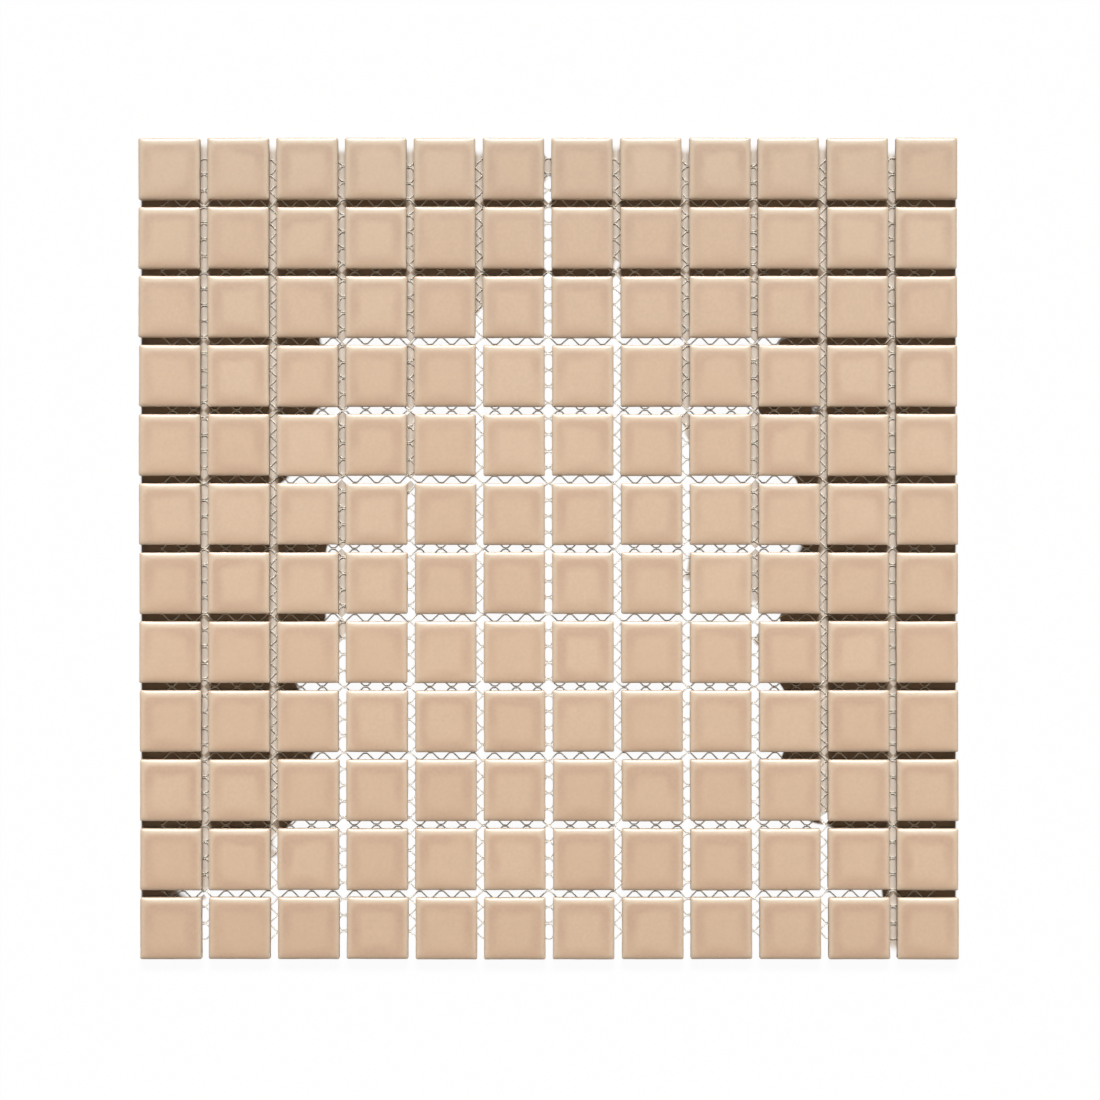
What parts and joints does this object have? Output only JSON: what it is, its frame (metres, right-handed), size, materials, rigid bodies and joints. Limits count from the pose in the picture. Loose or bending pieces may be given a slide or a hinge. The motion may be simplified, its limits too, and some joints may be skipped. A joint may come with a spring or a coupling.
{
  "type": "mosaic tile sheet",
  "caption": "Square sheet of small glazed ceramic mosaic chips in an even grid, held by an open thread net glued to their backs, for setting on a wall or floor.",
  "frame": {"origin": "centre of the sheet, on the underside of the backing net, where it meets the adhesive bed or the floor", "axes": "+Z out of the glazed faces, +X along the rows of chips, +Y up the columns of chips"},
  "size_m": [0.2974, 0.2974, 0.0052],
  "materials": {
    "glazed_chip": "satin cream-beige glaze over a pale fired body",
    "net_thread": "off-white coated glass-fibre thread"
  },
  "bodies": {
    "root": {"tile_row_01": "glazed_chip", "tile_row_02": "glazed_chip", "tile_row_03": "glazed_chip", "tile_row_04": "glazed_chip", "tile_row_05": "glazed_chip", "tile_row_06": "glazed_chip", "tile_row_07": "glazed_chip", "tile_row_08": "glazed_chip", "tile_row_09": "glazed_chip", "tile_row_10": "glazed_chip", "tile_row_11": "glazed_chip", "tile_row_12": "glazed_chip", "net_band_01": "net_thread", "net_band_02": "net_thread", "net_band_03": "net_thread", "net_band_04": "net_thread", "net_band_05": "net_thread", "net_band_06": "net_thread", "net_band_07": "net_thread", "net_band_08": "net_thread", "net_band_09": "net_thread", "net_band_10": "net_thread", "net_band_11": "net_thread", "net_band_12": "net_thread"}
  },
  "joints": []
}
